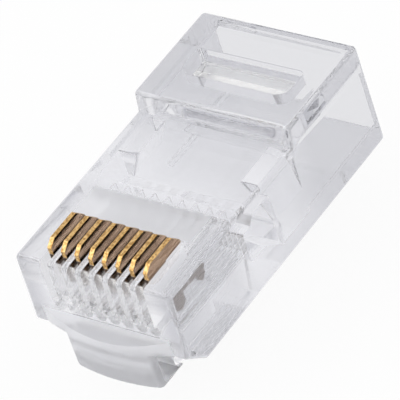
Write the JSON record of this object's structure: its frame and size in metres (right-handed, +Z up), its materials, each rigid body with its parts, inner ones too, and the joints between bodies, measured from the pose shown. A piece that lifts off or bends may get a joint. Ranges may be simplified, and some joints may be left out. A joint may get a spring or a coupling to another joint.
{
  "type": "RJ45 modular plug",
  "caption": "Clear modular network plug: a stepped housing with blade contacts proud in a comb of slots, a latch lever under the nose and a cable grip in a roof window.",
  "frame": {"origin": "under the middle of the plug, level with the lowest edge of the latch", "axes": "+Y from the nose to the cable end, +Z up to the contact side, +X across the plug"},
  "size_m": [0.0116, 0.0226, 0.011],
  "materials": {
    "clear_polycarbonate": "polished clear moulding",
    "gold_plated_bronze": "thin gold plating on stamped blades"
  },
  "bodies": {
    "housing": {"housing": "clear_polycarbonate"},
    "latch": {"latch": "clear_polycarbonate"},
    "cable_grip": {"cable_grip": "clear_polycarbonate"},
    "contact_1": {"contact_1": "gold_plated_bronze"},
    "contact_2": {"contact_2": "gold_plated_bronze"},
    "contact_3": {"contact_3": "gold_plated_bronze"},
    "contact_4": {"contact_4": "gold_plated_bronze"},
    "contact_5": {"contact_5": "gold_plated_bronze"},
    "contact_6": {"contact_6": "gold_plated_bronze"},
    "contact_7": {"contact_7": "gold_plated_bronze"},
    "contact_8": {"contact_8": "gold_plated_bronze"}
  },
  "joints": [
    {"name": "latch_flex", "type": "hinge", "parent": "housing", "child": "latch", "pos_m": [0, -0.0087, 0.00253], "axis": [1, 0, 0], "range_deg": [0, 9.5], "stiffness_Nm_per_rad": 0.4},
    {"name": "cable_grip_turn", "type": "hinge", "parent": "housing", "child": "cable_grip", "pos_m": [0, 0.0061, 0.00985], "axis": [-1, 0, 0], "range_deg": [0, 30]},
    {"name": "contact_1_press", "type": "slide", "parent": "housing", "child": "contact_1", "axis": [0, 0, -1], "range_m": [0, 0.0009]},
    {"name": "contact_2_press", "type": "slide", "parent": "housing", "child": "contact_2", "axis": [0, 0, -1], "range_m": [0, 0.0009]},
    {"name": "contact_3_press", "type": "slide", "parent": "housing", "child": "contact_3", "axis": [0, 0, -1], "range_m": [0, 0.0009]},
    {"name": "contact_4_press", "type": "slide", "parent": "housing", "child": "contact_4", "axis": [0, 0, -1], "range_m": [0, 0.0009]},
    {"name": "contact_5_press", "type": "slide", "parent": "housing", "child": "contact_5", "axis": [0, 0, -1], "range_m": [0, 0.0009]},
    {"name": "contact_6_press", "type": "slide", "parent": "housing", "child": "contact_6", "axis": [0, 0, -1], "range_m": [0, 0.0009]},
    {"name": "contact_7_press", "type": "slide", "parent": "housing", "child": "contact_7", "axis": [0, 0, -1], "range_m": [0, 0.0009]},
    {"name": "contact_8_press", "type": "slide", "parent": "housing", "child": "contact_8", "axis": [0, 0, -1], "range_m": [0, 0.0009]}
  ]
}
